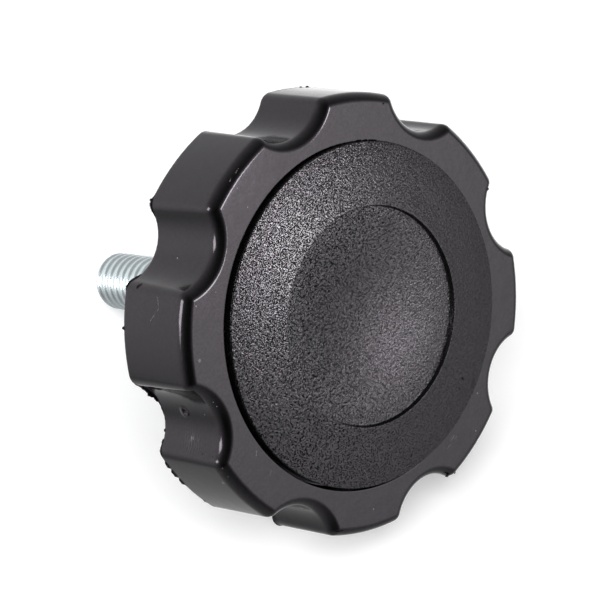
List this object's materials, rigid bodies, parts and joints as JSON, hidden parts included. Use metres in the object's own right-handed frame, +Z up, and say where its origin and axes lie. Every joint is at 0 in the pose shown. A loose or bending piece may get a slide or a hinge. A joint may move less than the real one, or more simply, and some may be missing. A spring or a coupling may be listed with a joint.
{
  "type": "star knob",
  "caption": "Round hand knob with a scalloped star rim, a grained and dished cover cap and a long threaded steel stud, for tightening or clamping by hand.",
  "frame": {"origin": "on the axis of the stud, at the seat of the hub, with the knob lying as it comes to rest on two lobes and the end of the stud", "axes": "+Z up, +Y level and away from the face, so that the stud points along +Y and down; the knob is the same to both sides of X = 0"},
  "size_m": [0.0538, 0.0603, 0.0515],
  "materials": {
    "body": "smooth black moulded plastic with a soft sheen",
    "cap": "black moulded plastic with a fine spark-eroded grain",
    "stud": "bright zinc-plated steel"
  },
  "bodies": {
    "root": {"knob_body": "body", "cover_cap": "cap", "stud": "stud"}
  },
  "joints": []
}
